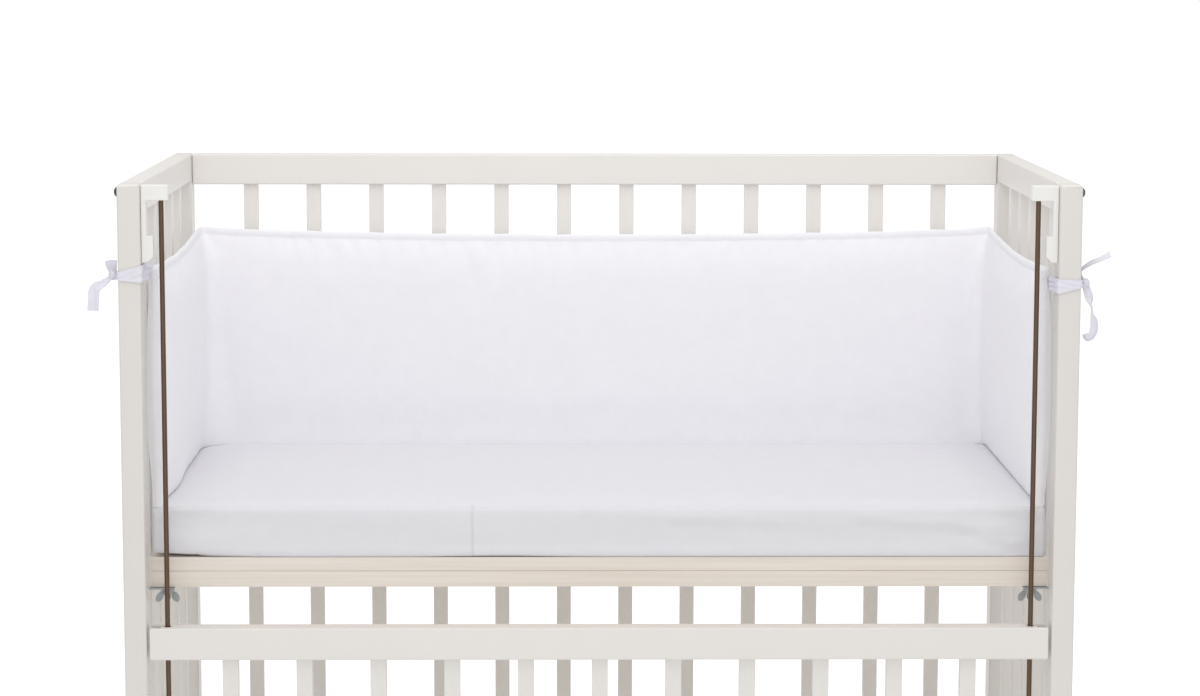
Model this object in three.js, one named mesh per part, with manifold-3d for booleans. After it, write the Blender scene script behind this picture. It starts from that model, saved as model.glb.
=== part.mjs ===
// Crib bumper tied inside a bedside crib whose front side is lowered.
// Millimetres, +Z up, +X to the right as seen from the open front at -Y.
// The origin lies on the floor under the middle of the whole object.

import * as THREE from 'three';
import { mergeVertices } from 'three/addons/utils/BufferGeometryUtils.js';
import Module from 'manifold-3d';

const { degToRad, lerp, smoothstep: smooth } = THREE.MathUtils;
const wasm = await Module();
wasm.setup();

// Whole object
const HEIGHT = 830;
const BOX_DEPTH = 468;
const GAP = 0.3;
const EDGE = 1.5;

// Ribbon of the ties
const RIBBON_THICK = 1.2;
const RIBBON_WIDTH = 10;

// Posts, with depths counted from the front face of the front posts
const INNER_HALF = 450;
const POST_WIDTH = 22;
const POST_DEPTH = 30;
const POST_ROUND = 3;
const POST_EDGE = 2.5;
const FRONT_Y = -BOX_DEPTH / 2 + GAP + RIBBON_THICK;
const BACK_DEPTH = BOX_DEPTH / 2 - FRONT_Y;
const BACK_POST_DEPTH = BACK_DEPTH - POST_DEPTH;

// Back and side panels
const BACK_RAIL = { depth: 442, thick: 20, high: 34 };
const SIDE_RAIL = { thick: 20, high: 30 };
const LOW_RAIL_Z = 60;
const SLAT = { wide: 16, thick: 10 };
const BACK_SLATS = { count: 12, pitch: 70 };
const SIDE_SLATS = { count: 5, pitch: 70.5 };

// Drop side, lowered, with its guide rods and their brackets
const DROP = { half: 447, depth: 2.5, thick: 22.5, high: 32, low: 22.3, top: 387.4 };
const DROP_SLATS = { count: 11, pitch: 73.6 };
const ROD = { x: 430.4, depth: 14, radius: 2.5, hole: 3.4 };
const CATCH = { wide: 11, plate: 5.2, arm: 26, armTop: 828, armLow: 813 };
const CATCH_BLOCK = { reach: 11.5, top: 778, low: 752 };
const CATCH_SLOT = { wide: 14, deep: 9.5 };
const FOOT = { reach: 26, low: 8, bevel: 5 };

// Base of bare wood and the clamps under its front
const BASE = { top: 454, split: 440, low: 424, half: 448.5, depth: 30.6, back: 436, batten: 20 };
const BACK_BATTEN_DEPTH = 425;
const BACK_BATTEN_END = 446;
const CLAMP = { x: 433, depth: 38, plateDepth: 26, plateWide: 25, plateLong: 22, plateThick: 1.5 };
const WING_NUT = { boltRadius: 3, boltLow: 410, hubRadius: 7, hubHigh: 7, sides: 12 };
const WING = { out: 8, drop: 3.5, long: 11, wide: 7, thick: 2.5, lean: Math.PI / 6 };

// Mattress: a firm pad, rounder at its front top edge. The left front corner of its underside is lifted.
const MATTRESS = { half: 446, front: 32, back: 437, low: 454.3, top: 506, crown: 3 };
const MATTRESS_ROUND = { front: 12, rear: 5, end: 5, under: 4 };
const MATTRESS_STEPS = { along: 14, across: 12 };
const MATTRESS_LIFT = { high: 3.5, fromX: 330, fromShare: 0.3 };
// Places where a rounded edge is stepped, as shares of its radius
const ROUND_SHARES = [0, 0.06, 0.3, 1];

// Bumper: a pad bent round the left side, the back and the right side
const PAD = { x: 440.5, front: 32.2, back: 431, half: 8, low: 506.4 };
const PAD_TOP = { front: 746, sideDip: 6.5, corner: 750, backDip: 8.5, backCurve: 0.6 };
const PAD_STEPS = { side: 16, corner: 6, back: 30 };
// Radius of the pad's middle line at the back corners, at the top and low down
const PAD_CORNER = { top: 14, lowLeft: 45, lowRight: 16, evenAt: 0.5 };
// Front ends: how far the rounding reaches, its thinnest and upper fullness, how far top and bottom draw in
const PAD_END = { round: 16, thin: 0.45, reach: 45, fat: 0.8, drop: 5, lift: 4 };
// Section of the pad: share of its height, and share of its half thickness
const PAD_SECTION = [
  { rise: 0.000, fat: 0.28 },
  { rise: 0.010, fat: 0.50 },
  { rise: 0.045, fat: 0.78 },
  { rise: 0.130, fat: 0.95 },
  { rise: 0.360, fat: 1.00 },
  { rise: 0.580, fat: 0.98 },
  { rise: 0.780, fat: 0.86 },
  { rise: 0.900, fat: 0.62 },
  { rise: 0.956, fat: 0.36 },
  { rise: 0.968, fat: 0.22 },
  { rise: 0.978, fat: 0.30 },
  { rise: 0.994, fat: 0.27 },
  { rise: 1.000, fat: 0.12 },
];

// Ties: bands round the front posts, knots and free ends.
// out is the distance from the middle of the crib, turn is 0 where the ribbon is edge-on from the front.
const TIES = {
  left: {
    side: -1,
    band: { innerLow: 733, outerLow: 735.5, innerTop: 750, outerTop: 743.5 },
    knot: { out: 478, depth: 13, z: 740 },
    tails: [
      [
        { out: 478.0, depth: 13, z: 740, turn: 60, wide: 0.6 },
        { out: 478.9, depth: 11, z: 746, turn: 75, wide: 0.9 },
        { out: 479.2, depth: 9, z: 750, turn: 85, wide: 1.1 },
        { out: 479.4, depth: 8, z: 754.5, turn: 82, wide: 1.2 },
      ],
      [
        { out: 478.0, depth: 13, z: 740, turn: 20, wide: 0.6 },
        { out: 481.5, depth: 11, z: 735.5, turn: 40, wide: 0.7 },
        { out: 487.7, depth: 9, z: 731, turn: 60, wide: 0.8 },
        { out: 493.3, depth: 7, z: 728, turn: 70, wide: 1.0 },
        { out: 496.2, depth: 6, z: 723, turn: 85, wide: 1.1 },
        { out: 496.7, depth: 5, z: 715.5, turn: 95, wide: 1.1 },
        { out: 497.4, depth: 5, z: 705, turn: 95, wide: 1.1 },
      ],
    ],
  },
  right: {
    side: 1,
    band: { innerLow: 722.5, outerLow: 728.5, innerTop: 737, outerTop: 736 },
    knot: { out: 478, depth: 13, z: 731 },
    tails: [
      [
        { out: 478.0, depth: 13, z: 731, turn: 10, wide: 0.6 },
        { out: 476.6, depth: 16, z: 739.5, turn: 0, wide: 0.8 },
        { out: 477.2, depth: 18, z: 745.5, turn: 10, wide: 0.8 },
        { out: 484.3, depth: 14, z: 750, turn: 15, wide: 0.9 },
        { out: 490.6, depth: 11, z: 754, turn: 15, wide: 0.9 },
        { out: 500.8, depth: 8, z: 761, turn: 25, wide: 0.9 },
      ],
      [
        { out: 478.0, depth: 13, z: 731, turn: 60, wide: 0.6 },
        { out: 480.0, depth: 11, z: 725, turn: 75, wide: 0.8 },
        { out: 482.2, depth: 9, z: 717.5, turn: 70, wide: 0.85 },
        { out: 483.9, depth: 8, z: 709.5, turn: 15, wide: 0.7 },
        { out: 484.8, depth: 8, z: 703.5, turn: 15, wide: 0.7 },
        { out: 486.8, depth: 7, z: 696, turn: 60, wide: 0.8 },
        { out: 487.0, depth: 7, z: 686, turn: 70, wide: 0.85 },
        { out: 484.2, depth: 7, z: 679.5, turn: 65, wide: 0.85 },
        { out: 480.2, depth: 7, z: 677.5, turn: 55, wide: 0.8 },
        { out: 477.0, depth: 7, z: 682, turn: 50, wide: 0.6 },
      ],
    ],
  },
};
const KNOT = { radius: 4.6, stretch: [1.05, 1, 1.25], around: 10, rings: 8 };
const TAIL_STEPS = 3;
// Points closer than this are one point where solids are joined
const WELD = 1e-4;

// Finishes from the photograph: colour, roughness, metalness
const FINISHES = {
  paint: [0xf2eee6, 0.45, 0],
  bareWood: [0xe6d9c4, 0.6, 0],
  cotton: [0xf4f3f8, 0.9, 0],
  plastic: [0xf3f2ee, 0.4, 0],
  bronze: [0x5a3d28, 0.35, 0.8],
  steel: [0x9a9d9e, 0.35, 0.9],
};

const crib = new THREE.Group();
const dropSide = new THREE.Group();
crib.add(dropSide);

// Y of a depth counted back from the front posts' front face
function yAt(depth) {
  return FRONT_Y + depth;
}

function addMesh(name, geometry, finish, parent = crib) {
  const [color, roughness, metalness] = FINISHES[finish];
  const mesh = new THREE.Mesh(geometry, new THREE.MeshStandardMaterial({ color, roughness, metalness }));
  mesh.name = name;
  parent.add(mesh);
  return mesh;
}

// Rectangle with its corners cut, centred on its own middle
function cutRectangle(wide, high, cut) {
  const a = wide / 2;
  const b = high / 2;
  return new THREE.Shape([
    new THREE.Vector2(-a + cut, -b),
    new THREE.Vector2(a - cut, -b),
    new THREE.Vector2(a, -b + cut),
    new THREE.Vector2(a, b - cut),
    new THREE.Vector2(a - cut, b),
    new THREE.Vector2(-a + cut, b),
    new THREE.Vector2(-a, b - cut),
    new THREE.Vector2(-a, -b + cut),
  ]);
}

// A wooden bar between two corners, its long edges broken, running along one axis
const BAR_TURNS = {
  x: new THREE.Matrix4().makeBasis(
    new THREE.Vector3(0, 1, 0), new THREE.Vector3(0, 0, 1), new THREE.Vector3(1, 0, 0)),
  y: new THREE.Matrix4().makeBasis(
    new THREE.Vector3(0, 0, 1), new THREE.Vector3(1, 0, 0), new THREE.Vector3(0, 1, 0)),
  z: new THREE.Matrix4(),
};
const BAR_SIDES = { x: ['y', 'z'], y: ['z', 'x'], z: ['x', 'y'] };

function addBar(name, finish, axis, low, high, parent = crib) {
  const size = new THREE.Vector3().subVectors(high, low);
  const [wide, tall] = BAR_SIDES[axis].map((side) => size[side]);
  const geometry = new THREE.ExtrudeGeometry(cutRectangle(wide, tall, EDGE), {
    depth: size[axis],
    bevelEnabled: false,
  });
  geometry.translate(0, 0, -size[axis] / 2);
  const mesh = addMesh(name, geometry, finish, parent);
  mesh.setRotationFromMatrix(BAR_TURNS[axis]);
  mesh.position.addVectors(low, high).multiplyScalar(0.5);
  return mesh;
}

// A corner point from X, depth and Z
function at(x, depth, z) {
  return new THREE.Vector3(x, yAt(depth), z);
}

// The same bar on the left and on the right, given by its span outwards from the middle
function addBarPair(name, finish, axis, out, depth, z) {
  addBar(`${name}_left`, finish, axis, at(-out[1], depth[0], z[0]), at(-out[0], depth[1], z[1]));
  addBar(`${name}_right`, finish, axis, at(out[0], depth[0], z[0]), at(out[1], depth[1], z[1]));
}

// Posts with rounded ends
function addPosts() {
  const section = cutRectangle(POST_WIDTH, POST_DEPTH, POST_EDGE);
  const places = [['front', POST_DEPTH / 2], ['back', BACK_POST_DEPTH + POST_DEPTH / 2]];
  for (const [row, depth] of places) {
    for (const [side, sign] of [['left', -1], ['right', 1]]) {
      const geometry = new THREE.ExtrudeGeometry(section, {
        depth: HEIGHT - 2 * POST_ROUND,
        bevelThickness: POST_ROUND,
        bevelSize: POST_ROUND,
        bevelOffset: -POST_ROUND,
        bevelSegments: 2,
      });
      const post = addMesh(`post_${row}_${side}`, geometry, 'paint');
      post.position.set(sign * (INNER_HALF + POST_WIDTH / 2), yAt(depth), POST_ROUND);
    }
  }
}

// Rails and slats of the back and of both sides
function addPanels() {
  const end = INNER_HALF - GAP;
  const backTo = BACK_RAIL.depth + BACK_RAIL.thick;
  const backTopLow = HEIGHT - BACK_RAIL.high;
  const backLowTop = LOW_RAIL_Z + BACK_RAIL.high;
  addBar('back_top_rail', 'paint', 'x', at(-end, BACK_RAIL.depth, backTopLow), at(end, backTo, HEIGHT));
  addBar('back_low_rail', 'paint', 'x', at(-end, BACK_RAIL.depth, LOW_RAIL_Z), at(end, backTo, backLowTop));
  const slatDepth = BACK_RAIL.depth + (BACK_RAIL.thick - SLAT.thick) / 2;
  for (let i = 0; i < BACK_SLATS.count; i += 1) {
    const x = (i - (BACK_SLATS.count - 1) / 2) * BACK_SLATS.pitch;
    addBar(`back_slat_${i + 1}`, 'paint', 'z',
      at(x - SLAT.wide / 2, slatDepth, backLowTop + GAP),
      at(x + SLAT.wide / 2, slatDepth + SLAT.thick, backTopLow - GAP));
  }
  const sideSpan = [POST_DEPTH + GAP, BACK_POST_DEPTH - GAP];
  const sideOut = [INNER_HALF, INNER_HALF + SIDE_RAIL.thick];
  const sideTopLow = HEIGHT - SIDE_RAIL.high;
  const sideLowTop = LOW_RAIL_Z + SIDE_RAIL.high;
  addBarPair('side_top_rail', 'paint', 'y', sideOut, sideSpan, [sideTopLow, HEIGHT]);
  addBarPair('side_low_rail', 'paint', 'y', sideOut, sideSpan, [LOW_RAIL_Z, sideLowTop]);
  const slatIn = INNER_HALF + (SIDE_RAIL.thick - SLAT.thick) / 2;
  const middle = (POST_DEPTH + BACK_POST_DEPTH) / 2;
  for (let i = 0; i < SIDE_SLATS.count; i += 1) {
    const depth = middle + (i - (SIDE_SLATS.count - 1) / 2) * SIDE_SLATS.pitch;
    addBarPair(`side_slat_${i + 1}`, 'paint', 'z', [slatIn, slatIn + SLAT.thick],
      [depth - SLAT.wide / 2, depth + SLAT.wide / 2], [sideLowTop + GAP, sideTopLow - GAP]);
  }
}

// Plan of a drop side rail: a hole for each rod and a slot in each end for the catch
function dropRailPlan() {
  const { half } = DROP;
  const slotIn = half - CATCH_SLOT.deep;
  const slotLow = ROD.depth - CATCH_SLOT.wide / 2;
  const slotHigh = ROD.depth + CATCH_SLOT.wide / 2;
  const low = DROP.depth;
  const high = DROP.depth + DROP.thick;
  const plan = new THREE.Shape([
    [-half, low], [half, low], [half, slotLow], [slotIn, slotLow], [slotIn, slotHigh], [half, slotHigh],
    [half, high], [-half, high], [-half, slotHigh], [-slotIn, slotHigh], [-slotIn, slotLow], [-half, slotLow],
  ].map(([x, depth]) => new THREE.Vector2(x, depth)));
  for (const sign of [-1, 1]) {
    const hole = new THREE.Path();
    hole.absarc(sign * ROD.x, ROD.depth, ROD.hole, 0, 2 * Math.PI, true);
    plan.holes.push(hole);
  }
  return plan;
}

function addDropSide() {
  const rail = { depth: DROP.high - 2 * EDGE, bevelThickness: EDGE, bevelSize: EDGE / 2, bevelOffset: -EDGE / 2,
    bevelSegments: 1, curveSegments: 8 };
  for (const [name, low] of [['drop_top_rail', DROP.top - DROP.high], ['drop_low_rail', DROP.low]]) {
    const mesh = addMesh(name, new THREE.ExtrudeGeometry(dropRailPlan(), rail), 'paint', dropSide);
    mesh.position.set(0, FRONT_Y, low + EDGE);
  }
  const middle = DROP.depth + DROP.thick / 2;
  for (let i = 0; i < DROP_SLATS.count; i += 1) {
    const x = (i - (DROP_SLATS.count - 1) / 2) * DROP_SLATS.pitch;
    addBar(`drop_slat_${i + 1}`, 'paint', 'z',
      at(x - SLAT.wide / 2, middle - SLAT.thick / 2, DROP.low + DROP.high + GAP),
      at(x + SLAT.wide / 2, middle + SLAT.thick / 2, DROP.top - DROP.high - GAP), dropSide);
  }
}

// Outline in a plane of distance in from the post and height, pushed through along the depth
function addPostBracket(name, side, corners) {
  const outline = corners.map(([reach, z]) => new THREE.Vector2(side * (INNER_HALF - GAP - reach), z));
  const shape = new THREE.Shape(outline);
  const geometry = new THREE.ExtrudeGeometry(shape, { depth: CATCH.wide, bevelEnabled: false });
  const mesh = addMesh(name, geometry, 'plastic');
  mesh.rotation.x = Math.PI / 2;
  mesh.position.y = yAt(ROD.depth + CATCH.wide / 2);
}

function addRodsAndBrackets() {
  const block = CATCH_BLOCK;
  const catchOutline = [
    [0, CATCH.armTop], [CATCH.arm, CATCH.armTop], [CATCH.arm, CATCH.armLow], [CATCH.plate, CATCH.armLow],
    [CATCH.plate, block.top], [block.reach, block.top],
    [block.reach, block.low + block.reach / 2], [block.reach / 2, block.low], [0, block.low],
  ];
  const footTop = DROP.low - GAP;
  const footOutline = [
    [0, footTop], [FOOT.reach, footTop], [FOOT.reach, FOOT.low + FOOT.bevel],
    [FOOT.reach - FOOT.bevel, FOOT.low], [0, FOOT.low],
  ];
  const rodLow = footTop + GAP;
  const rodHigh = CATCH.armLow - GAP;
  for (const [name, side] of [['left', -1], ['right', 1]]) {
    addPostBracket(`catch_${name}`, side, catchOutline);
    addPostBracket(`rod_foot_${name}`, side, footOutline);
    const geometry = new THREE.CylinderGeometry(ROD.radius, ROD.radius, rodHigh - rodLow, 12);
    const rod = addMesh(`rod_${name}`, geometry, 'bronze');
    rod.rotation.x = Math.PI / 2;
    rod.position.set(side * ROD.x, yAt(ROD.depth), (rodLow + rodHigh) / 2);
  }
}

// A closed solid from a three.js geometry, for joining
function solidOf(geometry) {
  const plain = geometry.clone();
  plain.deleteAttribute('normal');
  plain.deleteAttribute('uv');
  const merged = mergeVertices(plain, WELD);
  return new wasm.Manifold(new wasm.Mesh({
    numProp: 3,
    vertProperties: Float32Array.from(merged.attributes.position.array),
    triVerts: Uint32Array.from(merged.index.array),
  }));
}

function joined(geometries) {
  const [first, ...rest] = geometries.map(solidOf);
  const mesh = rest.reduce((sum, solid) => sum.add(solid), first).getMesh();
  const geometry = new THREE.BufferGeometry();
  geometry.setAttribute('position', new THREE.BufferAttribute(mesh.vertProperties, 3));
  geometry.setIndex(new THREE.BufferAttribute(mesh.triVerts, 1));
  geometry.computeVertexNormals();
  return geometry;
}

// Steel plate under the base with a bolt and a wing nut, made round the bolt's own axis
function clampGeometry(side) {
  const plateTop = BASE.low - GAP;
  const plateEnd = INNER_HALF - GAP - CLAMP.x;
  const plate = new THREE.BoxGeometry(CLAMP.plateWide, CLAMP.plateLong, CLAMP.plateThick);
  const plateMiddle = CLAMP.plateDepth + CLAMP.plateLong / 2 - CLAMP.depth;
  plate.translate(side * (plateEnd - CLAMP.plateWide / 2), plateMiddle, plateTop - CLAMP.plateThick / 2);
  const { boltRadius, boltLow, hubRadius, hubHigh, sides } = WING_NUT;
  const hubTop = plateTop - CLAMP.plateThick / 2;
  const hub = new THREE.CylinderGeometry(hubRadius, hubRadius, hubHigh, sides);
  hub.rotateX(Math.PI / 2).translate(0, 0, hubTop - hubHigh / 2);
  const bolt = new THREE.CylinderGeometry(boltRadius, boltRadius, hubTop - boltLow, sides);
  bolt.rotateX(Math.PI / 2).translate(0, 0, (hubTop + boltLow) / 2);
  const wings = [-1, 1].map((way) => {
    const wing = new THREE.CylinderGeometry(WING.long / 2, WING.long / 2, WING.thick, sides);
    wing.scale(WING.wide / WING.long, 1, 1).rotateY(way * WING.lean);
    return wing.translate(-way * WING.out, 0, hubTop - hubHigh - WING.drop);
  });
  return joined([plate, hub, bolt, ...wings]);
}

function addBase() {
  addBar('base_panel', 'bareWood', 'x', at(-BASE.half, BASE.depth, BASE.split + GAP),
    at(BASE.half, BASE.back, BASE.top));
  addBar('base_front_batten', 'bareWood', 'x', at(-BASE.half, BASE.depth, BASE.low),
    at(BASE.half, BASE.depth + BASE.batten, BASE.split));
  const backEnd = INNER_HALF - GAP;
  addBar('base_back_batten', 'bareWood', 'x', at(-backEnd, BACK_BATTEN_DEPTH, BASE.low),
    at(backEnd, BACK_BATTEN_END, BASE.split));
  for (const [name, side] of [['left', -1], ['right', 1]]) {
    const clamp = addMesh(`base_clamp_${name}`, clampGeometry(side), 'steel');
    clamp.position.set(side * CLAMP.x, yAt(CLAMP.depth), 0);
  }
}

// A closed skin over a row of sections. Each section goes along one side and back along the other,
// so its ends are closed by strips across it.
function loft(sections) {
  const count = sections[0].length;
  const points = sections.flat();
  const index = [];
  const quad = (a, b, c, d) => index.push(a, b, c, a, c, d);
  for (let i = 0; i + 1 < sections.length; i += 1) {
    for (let j = 0; j < count; j += 1) {
      const next = (j + 1) % count;
      quad(i * count + j, i * count + next, (i + 1) * count + next, (i + 1) * count + j);
    }
  }
  const last = (sections.length - 1) * count;
  for (let j = 0; j + 1 < count / 2; j += 1) {
    const back = count - 1 - j;
    quad(j, back, back - 1, j + 1);
    quad(last + j, last + j + 1, last + back - 1, last + back);
  }
  const geometry = new THREE.BufferGeometry().setFromPoints(points);
  geometry.setIndex(index);
  geometry.computeVertexNormals();
  return geometry;
}

// Height of a rounded shoulder at a distance in from its edge
function shoulder(distance, radius) {
  const inside = Math.min(distance, radius);
  return Math.sqrt(radius ** 2 - (radius - inside) ** 2);
}

// Places across a span, close together over a rounded edge at each end
function roundedSpan(low, high, lowRound, highRound, count) {
  const start = ROUND_SHARES.map((share) => low + share * lowRound);
  const end = ROUND_SHARES.map((share) => high - share * highRound).reverse();
  const inner = Array.from({ length: count - 1 }, (_, i) => lerp(start.at(-1), end[0], (i + 1) / count));
  return [...start, ...inner, ...end];
}

// Mattress: rounded edges, a low crown and one bottom corner a little off the base
function addMattress() {
  const { half, front, back, low, top, crown } = MATTRESS;
  const round = MATTRESS_ROUND;
  const middle = (front + back) / 2;
  const fall = (distance, radius) => radius - shoulder(distance, radius);
  const point = (x, depth, up) => {
    const along = x / half;
    const across = (depth - middle) / (back - middle);
    const edge = Math.max(
      fall(half - Math.abs(x), up ? round.end : round.under),
      fall(depth - front, up ? round.front : round.under),
      fall(back - depth, up ? round.rear : round.under),
    );
    const arch = crown * (1 - across ** 2) * (1 - along ** 4);
    const lift = MATTRESS_LIFT.high * smooth(-x, MATTRESS_LIFT.fromX, half)
      * smooth(-across, MATTRESS_LIFT.fromShare, 1);
    return at(x, depth, up ? top + arch - edge : low + lift + edge);
  };
  const depths = roundedSpan(front, back, round.front, round.rear, MATTRESS_STEPS.across);
  const sections = roundedSpan(-half, half, round.end, round.end, MATTRESS_STEPS.along).map((x) => {
    const under = depths.map((depth) => point(x, depth, false));
    const over = depths.map((depth) => point(x, depth, true));
    return [...under, ...over.reverse()];
  });
  addMesh('mattress', loft(sections), 'cotton');
}

// Height of the bumper's top edge along a side, from its front end, and along the back
function sideTop(share) {
  return lerp(PAD_TOP.front, PAD_TOP.corner, share) - PAD_TOP.sideDip * Math.sin(Math.PI * share);
}

function backTop(share) {
  return PAD_TOP.corner - PAD_TOP.backDip * Math.sin(Math.PI * share) ** PAD_TOP.backCurve;
}

// The line that a row of the bumper follows, seen from above, for given corner radii
function bumperLine(left, right) {
  const { x, front, back } = PAD;
  const line = new THREE.Path();
  line.moveTo(-x, front);
  line.lineTo(-x, back - left);
  line.absarc(-x + left, back - left, left, Math.PI, Math.PI / 2, true);
  line.lineTo(x - right, back);
  line.absarc(x - right, back - right, right, Math.PI / 2, 0, true);
  line.lineTo(x, front);
  const { side, corner, back: rear } = PAD_STEPS;
  const steps = [side, corner, rear, corner, side];
  const tops = [sideTop, () => PAD_TOP.corner, backTop, () => PAD_TOP.corner, (share) => sideTop(1 - share)];
  return line.curves.flatMap((curve, k) => {
    const first = k === 0 ? 0 : 1;
    return Array.from({ length: steps[k] + 1 - first }, (_, i) => {
      const share = (i + first) / steps[k];
      const place = curve.getPoint(share);
      const ahead = curve.getTangent(share);
      const inward = new THREE.Vector2(ahead.y, -ahead.x);
      return { place, inward, top: tops[k](share), fromEnd: place.y - front };
    });
  });
}

// Bumper: a filled pad, fullest low down, pinched at the seam under its top flange
function addBumper() {
  const { top, lowLeft, lowRight, evenAt } = PAD_CORNER;
  const rows = PAD_SECTION.map(({ rise, fat }) => {
    const even = smooth(rise, 0, evenAt);
    return { rise, fat, line: bumperLine(lerp(lowLeft, top, even), lerp(lowRight, top, even)) };
  });
  const point = ({ rise, fat, line }, i, way) => {
    const { place, inward, top: high, fromEnd } = line[i];
    const closing = 1 - shoulder(fromEnd, PAD_END.round) / PAD_END.round;
    const fullness = lerp(Math.max(fat, PAD_END.fat), fat, smooth(fromEnd, 0, PAD_END.reach));
    const off = way * PAD.half * fullness * lerp(1, PAD_END.thin, closing);
    const z = lerp(PAD.low + closing * PAD_END.lift, high - closing * PAD_END.drop, rise);
    return at(place.x + inward.x * off, place.y + inward.y * off, z);
  };
  const sections = rows[0].line.map((_, i) => {
    const outer = rows.map((row) => point(row, i, -1));
    const inner = rows.map((row) => point(row, i, 1));
    return [...outer, ...inner.reverse()];
  });
  addMesh('bumper', loft(sections), 'cotton');
}

// Band of ribbon round a front post, wider at the post's inner side
function bandGeometry({ side, band }) {
  const inner = [INNER_HALF - GAP, -GAP, INNER_HALF + POST_WIDTH + GAP, POST_DEPTH + GAP];
  const grow = RIBBON_THICK;
  const corners = (x0, d0, x1, d1) => [[x0, d0], [x1, d0], [x1, d1], [x0, d1]]
    .map(([x, depth]) => new THREE.Vector2(side * x, depth));
  const ring = new THREE.Shape(corners(inner[0] - grow, inner[1] - grow, inner[2] + grow, inner[3] + grow));
  ring.holes.push(new THREE.Path(corners(...inner).reverse()));
  const geometry = new THREE.ExtrudeGeometry(ring, { depth: 1, bevelEnabled: false });
  const place = geometry.attributes.position;
  for (let i = 0; i < place.count; i += 1) {
    const share = (side * place.getX(i) - inner[0]) / (inner[2] - inner[0]);
    const top = lerp(band.innerTop, band.outerTop, share);
    const low = lerp(band.innerLow, band.outerLow, share);
    place.setZ(i, lerp(low, top, place.getZ(i)));
    place.setY(i, yAt(place.getY(i)));
  }
  return geometry;
}

// A free end of ribbon through the rows of its table
function tailGeometry(side, rows) {
  const route = new THREE.CatmullRomCurve3(rows.map(({ out, depth, z }) => at(side * out, depth, z)));
  const spans = rows.length - 1;
  const sections = [];
  for (let i = 0; i <= spans * TAIL_STEPS; i += 1) {
    const share = i / (spans * TAIL_STEPS);
    const row = Math.min(Math.floor(share * spans), spans - 1);
    const part = share * spans - row;
    const turn = degToRad(lerp(rows[row].turn, rows[row + 1].turn, part));
    const wide = RIBBON_WIDTH * lerp(rows[row].wide, rows[row + 1].wide, part);
    const place = route.getPoint(share);
    const ahead = route.getTangent(share);
    const back = new THREE.Vector3(0, 1, 0).projectOnPlane(ahead).normalize();
    const across = back.applyAxisAngle(ahead, side * turn);
    const through = new THREE.Vector3().crossVectors(ahead, across);
    const corner = (a, b) => place.clone()
      .addScaledVector(across, (a * wide) / 2)
      .addScaledVector(through, (b * RIBBON_THICK) / 2);
    sections.push([corner(-1, -1), corner(1, -1), corner(1, 1), corner(-1, 1)]);
  }
  return loft(sections);
}

function addTies() {
  for (const [name, tie] of Object.entries(TIES)) {
    const { out, depth, z } = tie.knot;
    const knot = new THREE.SphereGeometry(KNOT.radius, KNOT.around, KNOT.rings);
    knot.scale(...KNOT.stretch).translate(tie.side * out, yAt(depth), z);
    const tails = tie.tails.map((rows) => tailGeometry(tie.side, rows));
    addMesh(`tie_${name}`, joined([bandGeometry(tie), knot, ...tails]), 'cotton');
  }
}

addPosts();
addPanels();
addDropSide();
addRodsAndBrackets();
addBase();
addMattress();
addBumper();
addTies();

export default crib;
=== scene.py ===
"""Looks of a padded crib bumper tied inside a bedside crib, laid out as an add-on."""
import math

import bpy
import numpy as np
from bpy.props import FloatProperty, FloatVectorProperty, IntProperty, PointerProperty
from mathutils import Matrix, Vector, noise


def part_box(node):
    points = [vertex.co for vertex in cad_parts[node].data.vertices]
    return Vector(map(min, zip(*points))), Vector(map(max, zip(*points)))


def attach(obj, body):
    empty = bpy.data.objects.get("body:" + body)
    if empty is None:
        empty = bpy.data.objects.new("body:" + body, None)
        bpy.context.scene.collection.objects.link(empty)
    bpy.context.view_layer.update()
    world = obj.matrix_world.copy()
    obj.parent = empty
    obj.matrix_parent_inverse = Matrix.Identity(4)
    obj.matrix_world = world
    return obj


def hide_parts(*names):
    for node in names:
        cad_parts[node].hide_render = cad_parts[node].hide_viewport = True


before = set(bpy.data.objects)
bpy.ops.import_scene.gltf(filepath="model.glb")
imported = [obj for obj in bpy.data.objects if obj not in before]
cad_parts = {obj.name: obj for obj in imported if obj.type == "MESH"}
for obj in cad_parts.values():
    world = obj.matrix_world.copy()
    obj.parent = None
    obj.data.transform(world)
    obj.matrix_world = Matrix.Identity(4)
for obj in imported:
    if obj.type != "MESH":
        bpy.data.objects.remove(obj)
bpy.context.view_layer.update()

bl_info = {
    "name": "Crib Bumper",
    "version": (1, 0, 0),
    "blender": (4, 5, 0),
    "location": "View3D > Sidebar > Crib Bumper",
    "description": "Dresses a crib bumper, its ties, mattress and bedside crib",
    "category": "Add Mesh",
}

MM = 0.001
FLOOR_SIZE = 400
WHITE = (1, 1, 1, 1)
CRIB = "crib"
DROP_SIDE = "drop_side"


def linear(hex_colour):
    """Linear red, green and blue of an sRGB hex colour."""
    shares = [int(hex_colour[i:i + 2], 16) / 255 for i in (1, 3, 5)]
    return tuple(c / 12.92 if c <= 0.04045 else ((c + 0.055) / 1.055) ** 2.4 for c in shares)


def length(name, description, millimetres):
    """A length property with its default in millimetres."""
    return FloatProperty(name=name, description=description, default=millimetres * MM, unit="LENGTH")


def number(name, description, value):
    """A plain number property."""
    return FloatProperty(name=name, description=description, default=value)


def tilt(name, description, degrees):
    """An angle property with its default in degrees."""
    return FloatProperty(name=name, description=description, default=math.radians(degrees), subtype="ANGLE")


def colour(name, description, hex_colour):
    """A colour property with its default as an sRGB hex colour."""
    return FloatVectorProperty(name=name, description=description, default=linear(hex_colour),
                               subtype="COLOR", min=0, max=1)


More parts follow.
